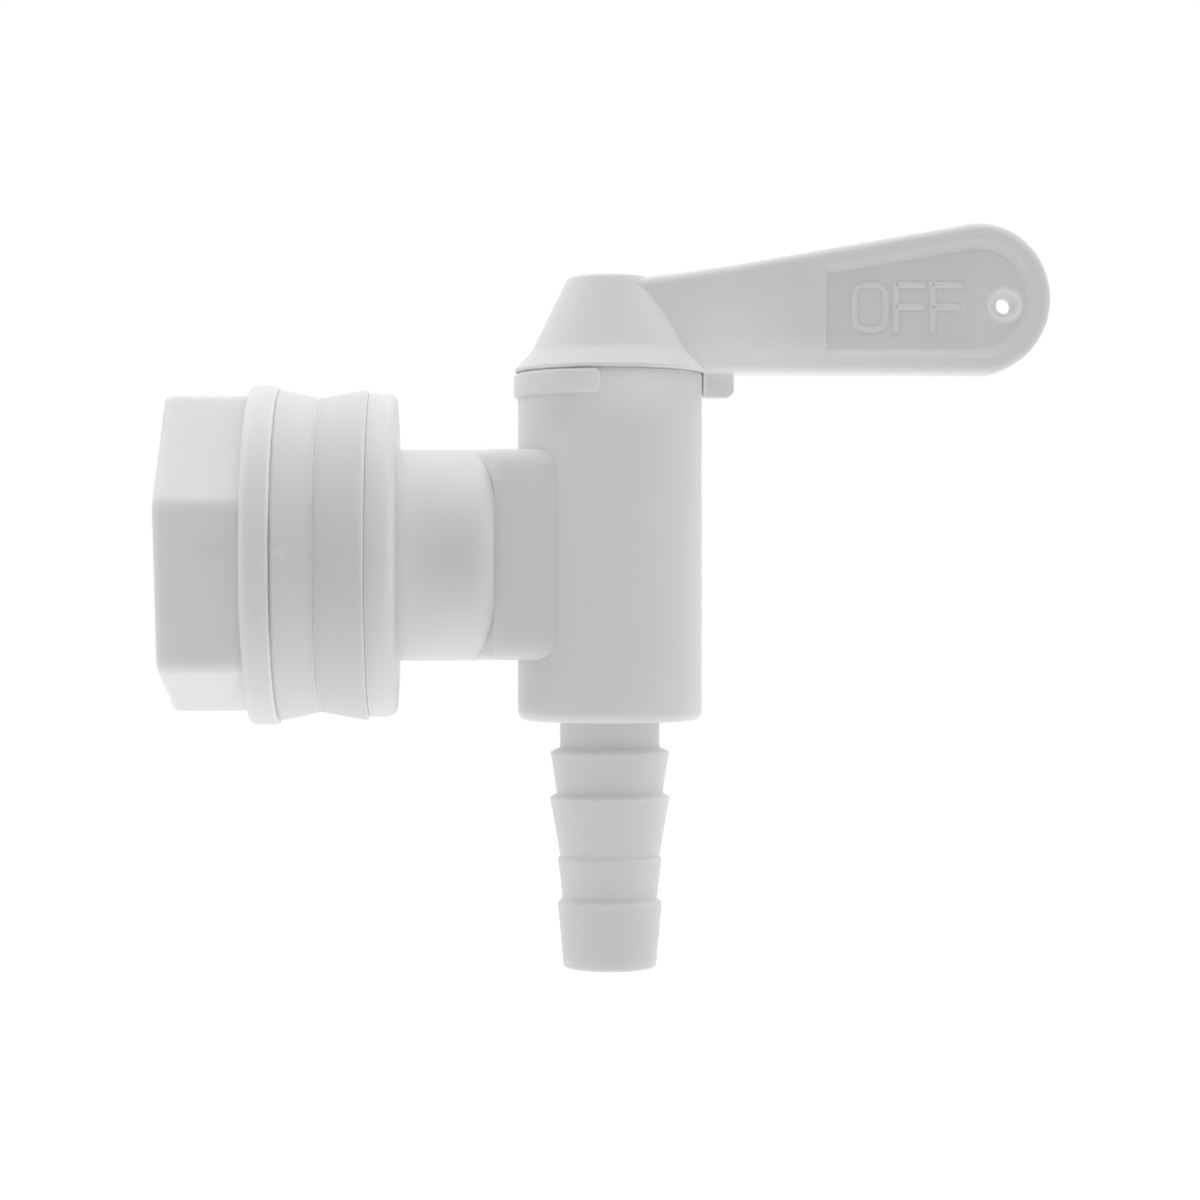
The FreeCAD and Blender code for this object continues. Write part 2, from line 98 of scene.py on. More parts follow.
def mesh_object(
    name: str,
    points: list[Point],
    faces: list[Corners],
    sharp_over: float = 40.0,
) -> bpy.types.Object:
    """Make a smooth-shaded mesh piece.

    Args:
        name: Piece name.
        points: Vertices in metres.
        faces: Vertex numbers of each face, anticlockwise from outside.
        sharp_over: Angle in degrees above which an edge stays sharp.

    Returns:
        The new object.
    """
    mesh = bpy.data.meshes.new(name)
    mesh.from_pydata(points, [], faces)
    mesh.validate()
    mesh.shade_smooth()
    mesh.set_sharp_from_angle(angle=math.radians(sharp_over))
    return new_object(name, mesh)


def swept_rings(rings: list[list[Point]], closed: bool) -> tuple[list[Point], list[Corners]]:
    """Join a row of section rings into one skin.

    Args:
        rings: Sections with as many points each, in order along the sweep.
        closed: True if the last section joins the first one.

    Returns:
        Vertices and faces, with flat ends on an open sweep.
    """
    size = len(rings[0])
    points = [point for ring in rings for point in ring]
    faces = []
    spans = len(rings) if closed else len(rings) - 1
    for row in range(spans):
        near = row * size
        far = (row + 1) % len(rings) * size
        for side in range(size):
            beside = (side + 1) % size
            faces.append((near + side, near + beside, far + beside, far + side))
    if not closed:
        faces.append(tuple(reversed(range(size))))
        last = (len(rings) - 1) * size
        faces.append(tuple(range(last, last + size)))
    return points, faces


def grey(tone: float) -> tuple[float, float, float, float]:
    """Opaque grey of one tone."""
    return (tone, tone, tone, 1.0)


def maths(
    tree: bpy.types.NodeTree, kind: str, *values: float | bpy.types.NodeSocket
) -> bpy.types.NodeSocket:
    """Add one sum to a tree.

    Args:
        tree: Tree that gets the node.
        kind: Blender's name for the sum.
        values: Its values or sockets, in order.

    Returns:
        The result's socket.
    """
    made = tree.nodes.new("ShaderNodeMath")
    made.operation = kind
    for socket, value in zip(made.inputs, values):
        if isinstance(value, bpy.types.NodeSocket):
            tree.links.new(value, socket)
        else:
            socket.default_value = value
    return made.outputs[0]


def soft_step(
    tree: bpy.types.NodeTree,
    value: bpy.types.NodeSocket,
    ends: tuple[float, float] = (0.0, 1.0),
    results: tuple[float, float] = (0.0, 1.0),
) -> bpy.types.Node:
    """Add a soft step to a tree.

    Args:
        tree: Tree that gets the node.
        value: Socket that the step follows.
        ends: Values at which it starts and ends.
        results: What it gives below its start and above its end.

    Returns:
        The step's node.
    """
    made = tree.nodes.new("ShaderNodeMapRange")
    made.interpolation_type = "SMOOTHSTEP"
    for name, number in zip(("From Min", "From Max", "To Min", "To Max"), (*ends, *results)):
        made.inputs[name].default_value = number
    tree.links.new(value, made.inputs["Value"])
    return made


@dataclass(frozen=True)
class MarkOrPaintedLight:
    """One place on a piece that is darker, paler, dented or proud: a real mark, or painted light
    or shade.

    Attributes:
        centre_mm: Middle of the place.
        reach_mm: Half its size along X, Y and Z.
        tone: Share by which the tone changes in the middle.
        edge: Share of the reach over which it fades out.
        height: Change of the surface's height in the middle, in grain depths.
        ragged: Unevenness of its outline.
        square: 1 for a box, 0 for an ellipsoid.
    """

    centre_mm: Point
    reach_mm: Point
    tone: float
    edge: float = 0.5
    height: float = 0.0
    ragged: float = 0.0
    square: float = 0.0


@dataclass(frozen=True)
class Finish:
    """One finish: how a moulded or cut surface looks close up.

    Attributes:
        name: Material name.
        slot: The record's material slot; not used.
        tone: Linear grey of the clean surface.
        roughness: Mean roughness of the surface.
        grain_mm: Size of the fine texture left by the mould.
        grain_depth_mm: Depth of that texture.
        mottle: Share by which the tone wanders over the piece.
        soft_light: Share of light that spreads inside the material.
        depth_mm: How far that light spreads.
        scuffs: Amount of handling scuffs, from 0 to 1.
        marks: Local marks on the piece, and painted light and shade.
    """

    name: str
    slot: str
    tone: float
    roughness: float
    grain_mm: float
    grain_depth_mm: float
    mottle: float
    soft_light: float = 0.0
    depth_mm: float = 1.0
    scuffs: float = 0.0
    marks: tuple[MarkOrPaintedLight, ...] = ()

    def material(self, groups: "SurfaceGroups") -> bpy.types.Material:
        """Build the material.

        Args:
            groups: The shared node groups.

        Returns:
            The node material of this finish.
        """
        made = bpy.data.materials.new(self.name)
        made.use_nodes = True
        tree = made.node_tree
        shader = tree.nodes["Principled BSDF"]
        skin = tree.nodes.new("ShaderNodeGroup")
        skin.node_tree = groups.skin
        skin.inputs["Tone"].default_value = grey(self.tone)
        skin.inputs["Roughness"].default_value = self.roughness
        skin.inputs["Grain"].default_value = 1 / (self.grain_mm * MM)
        skin.inputs["Mottle"].default_value = self.mottle
        skin.inputs["Scuffs"].default_value = self.scuffs
        bump = tree.nodes.new("ShaderNodeBump")
        bump.inputs["Strength"].default_value = 1.0
        bump.inputs["Distance"].default_value = self.grain_depth_mm * MM
        colour, height = skin.outputs["Colour"], skin.outputs["Height"]
        for mark in self.marks:
            place = tree.nodes.new("ShaderNodeGroup")
            place.node_tree = groups.mark
            place.inputs["Centre"].default_value = [at * MM for at in mark.centre_mm]
            place.inputs["Density"].default_value = [1 / (way * MM) for way in mark.reach_mm]
            for name, value in (("Tone Change", mark.tone), ("Height Change", mark.height),
                                ("Edge", mark.edge), ("Ragged", mark.ragged),
                                ("Square", mark.square)):
                place.inputs[name].default_value = value
            tree.links.new(colour, place.inputs["Colour"])
            tree.links.new(height, place.inputs["Height"])
            colour, height = place.outputs["Colour"], place.outputs["Height"]
        tree.links.new(colour, shader.inputs["Base Color"])
        tree.links.new(skin.outputs["Roughness"], shader.inputs["Roughness"])
        tree.links.new(height, bump.inputs["Height"])
        tree.links.new(bump.outputs["Normal"], shader.inputs["Normal"])
        shader.inputs["IOR"].default_value = PLASTIC_IOR
        shader.inputs["Subsurface Weight"].default_value = self.soft_light
        shader.inputs["Subsurface Radius"].default_value = (1.0, 1.0, 1.0)
        shader.inputs["Subsurface Scale"].default_value = self.depth_mm * MM
        made.diffuse_color = grey(self.tone)
        return made


# Seams, rims and the hole's countersink: painted light, a paler tone where these grooves and
# hollows fall into shade
NUT_SEAM_PAINTED_LIGHT = MarkOrPaintedLight((-5.05, 0.0, 0.0), (0.36, 40.0, 40.0), tone=0.16, edge=0.6, square=1.0)
WASHER_SEAM_PAINTED_LIGHT = MarkOrPaintedLight((0.0, 0.0, 0.0), (0.35, 40.0, 40.0), tone=0.22, edge=0.6, square=1.0)
FLANGE_SEAM_PAINTED_LIGHT = MarkOrPaintedLight((6.05, 0.0, 0.0), (0.36, 40.0, 40.0), tone=0.20, edge=0.6, square=1.0)
CAP_SEAM_PAINTED_LIGHT = MarkOrPaintedLight((35.94, 0.0, 22.7), (12.3, 12.3, 0.4), tone=0.22, edge=0.5, square=1.0)
LUG_SEAM_PAINTED_LIGHT = MarkOrPaintedLight((47.5, 0.0, 21.2), (0.5, 3.2, 1.9), tone=0.22, edge=0.4, square=1.0)
HOLE_RIM_PAINTED_LIGHT = MarkOrPaintedLight((85.35, 0.0, 31.3), (2.7, 8.0, 2.7), tone=0.20, edge=0.3)

# Paler and darker patches: painted light and shade on the lever, barrel, rib, block, neck and
# spout, then the outer washer's darker tone and the word inserts' faint mould marks
# Painted light: a paler root and lower edge of the lever, standing in for light falling there
LEVER_ROOT_PAINTED_LIGHT = MarkOrPaintedLight((49.0, 0.0, 26.0), (17.0, 11.0, 13.0), tone=0.16, edge=1.0)
LEVER_FOOT_PAINTED_LIGHT = MarkOrPaintedLight((62.0, 0.0, 24.3), (32.0, 10.0, 3.8), tone=0.13, edge=1.0)
# Painted light: paler front of the barrel under the cap, standing in for light through the cap's
# rim
BARREL_HEAD_PAINTED_LIGHT = MarkOrPaintedLight((38.0, -11.0, 21.5), (9.5, 6.0, 7.0), tone=0.16, edge=1.0)
# Painted shade: darker patch under the rib
BELOW_RIB_PAINTED_SHADE = MarkOrPaintedLight((29.3, -9.0, 17.2), (4.5, 5.0, 4.0), tone=-0.06, edge=1.0)
# Painted light: paler top and foot corners where the block meets the neck
BLOCK_CORNER_TOP_PAINTED_LIGHT = MarkOrPaintedLight((20.6, 0.0, 9.8), (2.8, 13.0, 4.5), tone=0.12, edge=1.0)
BLOCK_CORNER_FOOT_PAINTED_LIGHT = MarkOrPaintedLight((20.6, 0.0, -9.8), (2.8, 13.0, 4.5), tone=0.12, edge=1.0)
# Painted light round the neck's root by the flange, and painted shade on the middle of the neck's
# front
NECK_ROOT_PAINTED_LIGHT = MarkOrPaintedLight((10.4, 0.0, 0.0), (3.6, 30.0, 30.0), tone=0.08, edge=1.0)
NECK_MIDDLE_PAINTED_SHADE = MarkOrPaintedLight((16.7, -12.5, -0.8), (5.5, 6.0, 8.5), tone=-0.065, edge=1.0)
# Painted shade: darker foot of the spout, where less light comes from below
SPOUT_FOOT_PAINTED_SHADE = MarkOrPaintedLight((35.94, 0.0, -51.0), (13.0, 13.0, 16.0), tone=-0.10, edge=1.0)
# The outer washer's tone, a little darker all over
OUTER_WASHER_SHADE = MarkOrPaintedLight((3.0, 0.0, 0.0), (2.98, 30.0, 30.0), tone=-0.05, edge=0.01, square=1.0)
# Faint darker rectangles of the word inserts left by the mould, the lever's own tone
WORD_INSERT_FRONT = MarkOrPaintedLight(
    (72.2, -2.2, 31.0), (9.6, 0.2, 12.0), tone=-0.025, edge=0.012, square=1.0,
)
WORD_INSERT_BACK = MarkOrPaintedLight(
    (72.2, 2.2, 31.0), (9.6, 0.2, 12.0), tone=-0.025, edge=0.012, square=1.0,
)

# Small marks of moulding and use, and the painted shadow of a slit at the nut's seam
CREST_PIT = MarkOrPaintedLight((33.45, -7.0, -24.35), (0.20, 0.5, 0.15), tone=-0.25, edge=0.6)
# Painted shadow: a dark band standing in for a slit where the washer's rim gapes at the nut's
# seam
SEAM_SLIT_PAINTED_SHADOW = MarkOrPaintedLight((-5.12, -20.0, -3.2), (0.22, 12.0, 10.0), tone=-0.2, edge=0.5)
NUT_SCUFF = MarkOrPaintedLight(
    (-15.7, -13.5, 13.4), (0.9, 1.5, 0.55), tone=-0.04, edge=0.7, height=-8.0, ragged=1.2,
)
CHIP_EDGE = MarkOrPaintedLight(
    (-4.2, -20.2, -0.6), (0.85, 0.9, 1.35), tone=0.09, edge=0.5, height=8.0, ragged=0.9,
)
WASHER_CHIP = MarkOrPaintedLight(
    (-4.15, -20.2, -0.75), (0.42, 0.8, 0.85), tone=-0.08, edge=0.5, height=-12.0, ragged=0.8,
)

BODY_PLASTIC = Finish(
    "natural_plastic_body", "body_plastic", tone=0.79, roughness=0.42,
    grain_mm=0.55, grain_depth_mm=0.006, mottle=0.018, soft_light=0.7, depth_mm=2.0,
    marks=(CREST_PIT, FLANGE_SEAM_PAINTED_LIGHT, CAP_SEAM_PAINTED_LIGHT, LUG_SEAM_PAINTED_LIGHT, BLOCK_CORNER_TOP_PAINTED_LIGHT, BLOCK_CORNER_FOOT_PAINTED_LIGHT,
           NECK_MIDDLE_PAINTED_SHADE, NECK_ROOT_PAINTED_LIGHT, BARREL_HEAD_PAINTED_LIGHT, BELOW_RIB_PAINTED_SHADE, SPOUT_FOOT_PAINTED_SHADE),
)
LEVER_PLASTIC = Finish(
    "natural_plastic_lever", "lever_plastic", tone=0.78, roughness=0.40,
    grain_mm=0.50, grain_depth_mm=0.005, mottle=0.020, soft_light=0.45, depth_mm=0.9,
    marks=(WORD_INSERT_FRONT, WORD_INSERT_BACK, CAP_SEAM_PAINTED_LIGHT, LUG_SEAM_PAINTED_LIGHT, HOLE_RIM_PAINTED_LIGHT, LEVER_ROOT_PAINTED_LIGHT,
           LEVER_FOOT_PAINTED_LIGHT),
)
LETTER_PLASTIC = Finish(
    "natural_plastic_letters", "lever_plastic", tone=0.78, roughness=0.42,
    grain_mm=0.50, grain_depth_mm=0.003, mottle=0.010,
)
NUT_PLASTIC = Finish(
    "natural_plastic_nut", "nut_plastic", tone=0.79, roughness=0.44,
    grain_mm=0.55, grain_depth_mm=0.006, mottle=0.022, soft_light=0.7, depth_mm=2.0,
    scuffs=0.5, marks=(NUT_SCUFF, NUT_SEAM_PAINTED_LIGHT, SEAM_SLIT_PAINTED_SHADOW),
)
WASHER_RUBBER = Finish(
    "soft_white_rubber", "washer_rubber", tone=0.77, roughness=0.62,
    grain_mm=0.25, grain_depth_mm=0.008, mottle=0.015, soft_light=0.6, depth_mm=1.8,
    marks=(OUTER_WASHER_SHADE, NUT_SEAM_PAINTED_LIGHT, WASHER_SEAM_PAINTED_LIGHT, FLANGE_SEAM_PAINTED_LIGHT, SEAM_SLIT_PAINTED_SHADOW, CHIP_EDGE,
           WASHER_CHIP),
)
SEAL_RUBBER = Finish(
    "dark_seal_rubber", "seal_rubber", tone=0.030, roughness=0.55,
    grain_mm=0.20, grain_depth_mm=0.006, mottle=0.10,
)


@dataclass
class SurfaceGroups:
    """The shader node groups that the finishes share.

    Attributes:
        cloud_scale: Scale of the slow clouds in tone and roughness.
        cloud_detail: Their finer layers.
        cloud_roughness: Difference in roughness between the clouds' two extremes.
        grain_detail: Finer layers of the mould's grain.
        rub_scale: Scale of the handling scuffs.
        rub_detail: Their finer layers.
        rub_distortion: How far they are drawn out of shape.
        rub_ends: Values of their noise at which a scuff starts and is full.
        rub_tone: Change of tone in a scuff.
        rub_roughness: Change of roughness in it.
        rub_depth: Its depth, in grain depths.
        ragged_scale: Scale of the unevenness of a mark's outline.
        ragged_detail: Its finer layers.
    """

    cloud_scale: float = 70.0
    cloud_detail: float = 3.0
    cloud_roughness: float = 0.12
    grain_detail: float = 2.0
    rub_scale: float = 160.0
    rub_detail: float = 6.0
    rub_distortion: float = 1.5
    rub_ends: tuple[float, float] = (0.60, 0.74)
    rub_tone: float = -0.05
    rub_roughness: float = 0.12
    rub_depth: float = 0.6
    ragged_scale: float = 2600.0
    ragged_detail: float = 3.0

    def __post_init__(self) -> None:
        """Build every group once."""
        self.skin = self._skin()
        self.mark = self._mark()

    @staticmethod
    def _socket(tree: bpy.types.NodeTree, name: str, way: str, kind: str) -> None:
        """Add one socket to a group's interface."""
        tree.interface.new_socket(name=name, in_out=way, socket_type=kind)

    def _mark(self) -> bpy.types.NodeTree:
        """Local mark or painted light or shade: changes tone and height within a reach of one
        place.

        Returns:
            The group, which passes Colour and Height on.
        """
        tree = bpy.data.node_groups.new("local_mark_or_painted_light", "ShaderNodeTree")
        self._socket(tree, "Colour", "INPUT", "NodeSocketColor")
        self._socket(tree, "Height", "INPUT", "NodeSocketFloat")
        for name in ("Centre", "Density"):
            self._socket(tree, name, "INPUT", "NodeSocketVector")
        for name in ("Tone Change", "Height Change", "Edge", "Ragged", "Square"):
            self._socket(tree, name, "INPUT", "NodeSocketFloat")
        self._socket(tree, "Colour", "OUTPUT", "NodeSocketColor")
        self._socket(tree, "Height", "OUTPUT", "NodeSocketFloat")
        nodes, links = tree.nodes, tree.links
        given = nodes.new("NodeGroupInput")
        result = nodes.new("NodeGroupOutput")
        place = nodes.new("ShaderNodeTexCoord")

        def vector_maths(kind: str, first: bpy.types.NodeSocket,
                         second: bpy.types.NodeSocket | None = None) -> bpy.types.Node:
            """Add one sum of vectors.

            Args:
                kind: Blender's name for the sum.
                first: First vector.
                second: Second vector, for a sum that has one.

            Returns:
                The sum's node.
            """
            made = nodes.new("ShaderNodeVectorMath")
            made.operation = kind
            links.new(first, made.inputs[0])
            if second is not None:
                links.new(second, made.inputs[1])
            return made

        away = vector_maths("SUBTRACT", place.outputs["Object"], given.outputs["Centre"])
        away = vector_maths("MULTIPLY", away.outputs[0], given.outputs["Density"])
        round_way = vector_maths("LENGTH", away.outputs[0]).outputs["Value"]
        sides = nodes.new("ShaderNodeSeparateXYZ")
        links.new(vector_maths("ABSOLUTE", away.outputs[0]).outputs[0], sides.inputs[0])
        square_way = maths(tree, "MAXIMUM", sides.outputs["X"], sides.outputs["Y"])
        square_way = maths(tree, "MAXIMUM", square_way, sides.outputs["Z"])
        change = maths(tree, "SUBTRACT", square_way, round_way)
        change = maths(tree, "MULTIPLY", change, given.outputs["Square"])
        way = maths(tree, "ADD", round_way, change)
        noise = nodes.new("ShaderNodeTexNoise")
        noise.inputs["Scale"].default_value = self.ragged_scale
        noise.inputs["Detail"].default_value = self.ragged_detail
        links.new(place.outputs["Object"], noise.inputs["Vector"])
        uneven = maths(tree, "SUBTRACT", noise.outputs["Fac"], NOISE_MIDDLE)
        uneven = maths(tree, "MULTIPLY", uneven, given.outputs["Ragged"])
        inside = maths(tree, "SUBTRACT", 1.0, maths(tree, "ADD", way, uneven))
        amount = soft_step(tree, inside)
        links.new(given.outputs["Edge"], amount.inputs["From Max"])
        gain = maths(tree, "MULTIPLY", amount.outputs["Result"], given.outputs["Tone Change"])
        tinted = vector_maths("SCALE", given.outputs["Colour"])
        links.new(maths(tree, "ADD", 1.0, gain), tinted.inputs["Scale"])
        links.new(tinted.outputs[0], result.inputs["Colour"])
        rise = maths(tree, "MULTIPLY", amount.outputs["Result"], given.outputs["Height Change"])
        links.new(maths(tree, "ADD", given.outputs["Height"], rise), result.inputs["Height"])
        return tree

    def _skin(self) -> bpy.types.NodeTree:
        """Moulded skin: wandering tone, fine grain and handling scuffs.

        Returns:
            The group, with Colour, Roughness and Height outputs.
        """
        tree = bpy.data.node_groups.new("moulded_skin", "ShaderNodeTree")
        self._socket(tree, "Tone", "INPUT", "NodeSocketColor")
        for name in ("Roughness", "Grain", "Mottle", "Scuffs"):
            self._socket(tree, name, "INPUT", "NodeSocketFloat")
        self._socket(tree, "Colour", "OUTPUT", "NodeSocketColor")
        self._socket(tree, "Roughness", "OUTPUT", "NodeSocketFloat")
        self._socket(tree, "Height", "OUTPUT", "NodeSocketFloat")
        nodes, links = tree.nodes, tree.links
        given = nodes.new("NodeGroupInput")
        result = nodes.new("NodeGroupOutput")
        place = nodes.new("ShaderNodeTexCoord")

        def noise(detail: float) -> bpy.types.Node:
            """Add a noise over the piece's own coordinates.

            Args:
                detail: Number of finer layers.

            Returns:
                The noise's node.
            """
            made = nodes.new("ShaderNodeTexNoise")
            made.inputs["Detail"].default_value = detail
            links.new(place.outputs["Object"], made.inputs["Vector"])
            return made

        clouds = noise(self.cloud_detail)
        clouds.inputs["Scale"].default_value = self.cloud_scale
        grain = noise(self.grain_detail)
        links.new(given.outputs["Grain"], grain.inputs["Scale"])
        rubs = noise(self.rub_detail)
        rubs.inputs["Scale"].default_value = self.rub_scale
        rubs.inputs["Distortion"].default_value = self.rub_distortion

        drift = maths(tree, "SUBTRACT", clouds.outputs["Fac"], NOISE_MIDDLE)
        drift = maths(tree, "MULTIPLY", drift, given.outputs["Mottle"])
        drift = maths(tree, "MULTIPLY", drift, 1 / NOISE_MIDDLE)
        rub = soft_step(tree, rubs.outputs["Fac"], self.rub_ends).outputs["Result"]
        rub = maths(tree, "MULTIPLY", rub, given.outputs["Scuffs"])
        darkening = maths(tree, "MULTIPLY", rub, self.rub_tone)
        gain = maths(tree, "ADD", maths(tree, "ADD", 1.0, drift), darkening)

        tinted = nodes.new("ShaderNodeVectorMath")
        tinted.operation = "SCALE"
        links.new(given.outputs["Tone"], tinted.inputs[0])
        links.new(gain, tinted.inputs["Scale"])
        links.new(tinted.outputs["Vector"], result.inputs["Colour"])

        wander = maths(tree, "SUBTRACT", clouds.outputs["Fac"], NOISE_MIDDLE)
        wander = maths(tree, "MULTIPLY", wander, self.cloud_roughness)
        rough = maths(tree, "ADD", given.outputs["Roughness"], wander)
        roughening = maths(tree, "MULTIPLY", rub, self.rub_roughness)
        rough = maths(tree, "ADD", rough, roughening)
        links.new(rough, result.inputs["Roughness"])
        hollow = maths(tree, "MULTIPLY", rub, self.rub_depth)
        height = maths(tree, "SUBTRACT", grain.outputs["Fac"], hollow)
        links.new(height, result.inputs["Height"])
        return tree


@dataclass
class Dresser:
    """Gives finishes to CAD nodes and to new pieces.

    Attributes:
        groups: The shared node groups.
        made: Materials that are built already, by name.
    """

    frame: dict
    groups: SurfaceGroups
    made: dict[str, bpy.types.Material] = field(default_factory=dict)

    def material(self, finish: Finish) -> bpy.types.Material:
        """Find a finish's material, or build it on first use.

        Args:
            finish: The finish.

        Returns:
            Its material.
        """
        if finish.name not in self.made:
            self.made[finish.name] = finish.material(self.groups)
        return self.made[finish.name]

    def node(self, name: str, finish: Finish) -> None:
        """Give a CAD node its finish.

        Args:
            name: CAD node.
            finish: Finish that it gets.
        """
        target = self.frame["nodes"][name]
        target.data.materials.clear()
        target.data.materials.append(self.material(finish))
        LOG.info("dressed %s in %s", name, finish.name)

    def piece(self, made: bpy.types.Object, body: str, finish: Finish) -> None:
        """Give a new piece its finish and its body.

        Args:
            made: The new piece, in place.
            body: CAD body that it moves with.
            finish: Finish that it gets.
        """
        made.data.materials.append(self.material(finish))
        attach(made, body)
        LOG.info("made %s on %s", made.name, body)


@dataclass
class ThreadRidge:
    """One helical thread ridge about the shank's axis.

    Attributes:
        name: Piece name.
        start_mm: X of the ridge's first turn.
        end_mm: X of its last turn.
        root_mm: Radius where the ridge stands on its piece.
        crest_mm: Radius of its crest.
        root_half_mm: Half its width at the root.
        crest_half_mm: Half its width at the crest.
        pitch_mm: Advance in one turn.
        phase: Share of a pitch by which the helix is moved along X.
        steps: Sections in one turn.
        fade_turns: Length of the run-out at each end, in turns.
        least_height: Share of the height that the very end keeps.
        shoulder: Share of the flank and of the height at which the crest's rounding starts.
    """

    name: str
    start_mm: float
    end_mm: float
    root_mm: float
    crest_mm: float
    root_half_mm: float
    crest_half_mm: float
    pitch_mm: float = 1.814
    phase: float = 0.0
    steps: int = 56
    fade_turns: float = 0.2
    least_height: float = 0.02
    shoulder: float = 0.8

    def build(self) -> bpy.types.Object:
        """Build the ridge as one closed skin.

        Returns:
            The ridge's object.
        """
        turns = (self.end_mm - self.start_mm) / self.pitch_mm
        count = max(2, round(turns * self.steps))
        fade = int(self.steps * self.fade_turns)
        rings = []
        for index in range(count + 1):
            along = index / self.steps
            angle = 2 * math.pi * (along + self.start_mm / self.pitch_mm - self.phase)
            centre = self.start_mm + along * self.pitch_mm
            full = min(1.0, index / fade, (count - index) / fade)
            rings.append(self._section(centre, angle, full))
        points, faces = swept_rings(rings, closed=False)
        return mesh_object(self.name, points, faces, sharp_over=50.0)

    def _section(self, centre: float, angle: float, full: float) -> list[Point]:
        """Section of the ridge at one place.

        Args:
            centre: X of the section's middle.
            angle: Turn about the shank's axis.
            full: Share of the full height, for the run-out at the ends.

        Returns:
            Its corners, in metres.
        """
        height = (self.crest_mm - self.root_mm) * max(full, self.least_height)
        shoulder = self.root_half_mm + (self.crest_half_mm - self.root_half_mm) * self.shoulder
        flat = self.crest_half_mm / 2
        shape = (
            (-self.root_half_mm, 0.0),
            (-shoulder, self.shoulder),
            (-flat, 1.0),
            (flat, 1.0),
            (shoulder, self.shoulder),
            (self.root_half_mm, 0.0),
        )
        ring = []
        for x, share in shape:
            radius = self.root_mm + height * share
            place = Vector((centre + x, -radius * math.sin(angle), radius * math.cos(angle)))
            ring.append(tuple(place * MM))
        if self.crest_mm > self.root_mm:
            ring.reverse()
        return ring


